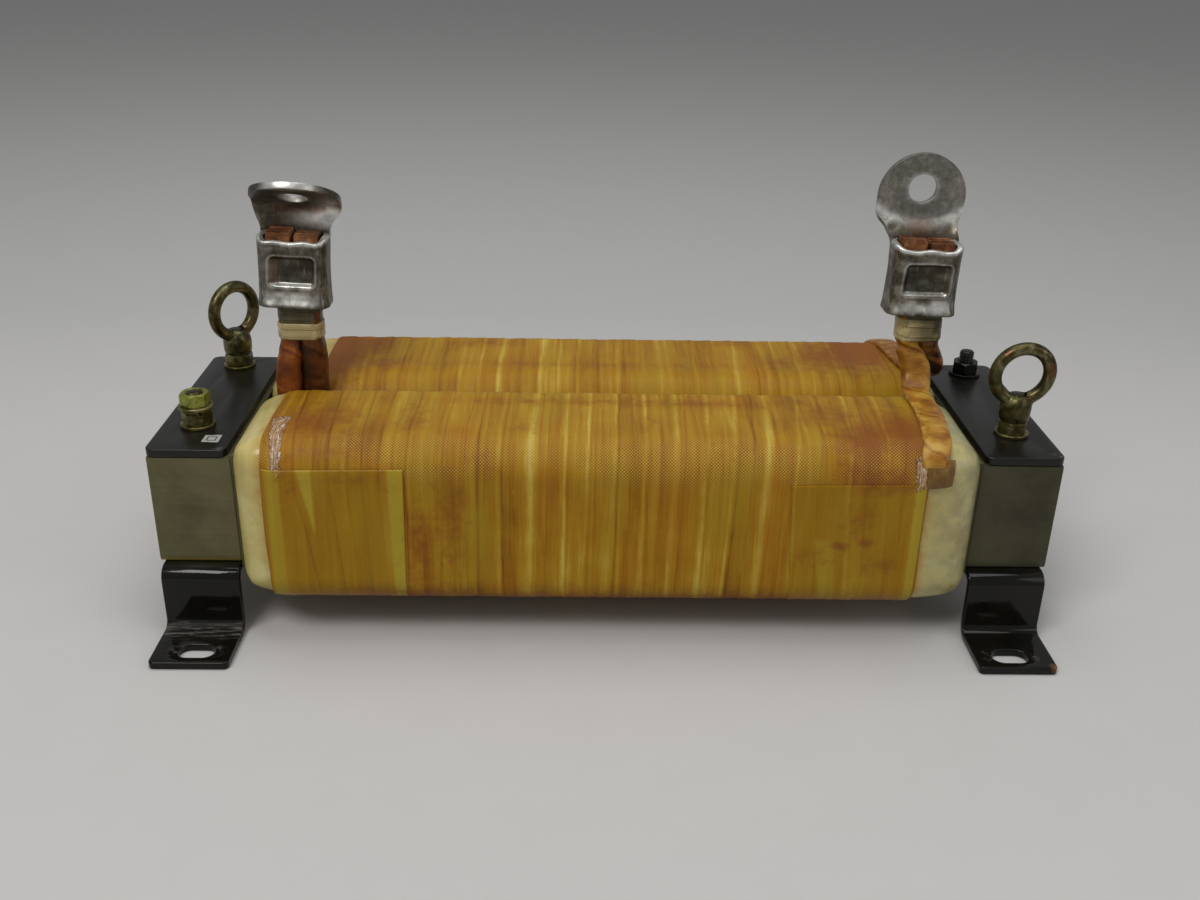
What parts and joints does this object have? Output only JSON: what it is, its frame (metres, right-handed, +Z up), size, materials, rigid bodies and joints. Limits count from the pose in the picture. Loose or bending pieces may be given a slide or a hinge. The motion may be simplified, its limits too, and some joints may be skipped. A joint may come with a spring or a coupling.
{
  "type": "line reactor",
  "caption": "Open iron-core reactor: long taped coils on a clamped laminated core, folded slotted feet, lifting eye nuts and a crimped cable lug standing up at each end.",
  "frame": {"origin": "on the floor under the middle of the core, at the centre of the footprint of the feet", "axes": "+X along the core towards the lug with the upright palm, -Y the front with the bare clamp stack at its left end, +Z up"},
  "size_m": [0.4434, 0.2106, 0.2269],
  "materials": {
    "core_steel": "bare laminations, dull and slightly oiled",
    "black_paint": "gloss black paint, scuffed at the slots",
    "chromate": "zinc plated, olive-gold passivation",
    "tinned": "tinned copper, dull with bright pressed areas",
    "copper": "bare copper strands, darkened",
    "amber_tape": "varnished woven tape, uneven amber with brown stains",
    "pale_tape": "glossy pale yellow varnished wrap",
    "dark_tape": "varnish-soaked lead tape, red-brown",
    "binding": "pale binding tape",
    "board": "pressboard",
    "sticker": "small white marker with a plain dark border"
  },
  "bodies": {
    "root": {"yoke_left": "core_steel", "yoke_right": "core_steel", "limb_front": "core_steel", "limb_rear": "core_steel", "gap_board_front_left": "board", "gap_board_front_right": "board", "gap_board_rear_left": "board", "gap_board_rear_right": "board", "former_front": "board", "former_rear": "board", "winding_front": "copper", "winding_rear": "copper", "pale_wrap_front": "pale_tape", "pale_wrap_rear": "pale_tape", "tape_wrap_front": "amber_tape", "tape_wrap_rear": "amber_tape", "start_lead_front": "dark_tape", "start_lead_rear": "dark_tape", "finish_lead_front": "dark_tape", "finish_lead_rear": "dark_tape", "lead_band_left": "binding", "lead_band_right": "binding", "strands_left": "copper", "strands_right": "copper", "lug_left": "tinned", "lug_right": "tinned", "top_plate_left": "black_paint", "top_plate_right": "black_paint", "foot_front_left": "black_paint", "foot_front_right": "black_paint", "foot_rear_left": "black_paint", "foot_rear_right": "black_paint", "clamp_studs": "chromate", "stud_sleeves": "board", "top_washers": "chromate", "painted_washer": "black_paint", "top_nuts": "chromate", "painted_nut": "black_paint", "terminal_spring_washer": "chromate", "terminal_washer": "chromate", "terminal_nut": "chromate", "eye_nut_left": "chromate", "eye_nut_right": "chromate", "bottom_washers": "chromate", "bottom_nuts": "chromate", "marker_sticker": "sticker"}
  },
  "joints": []
}
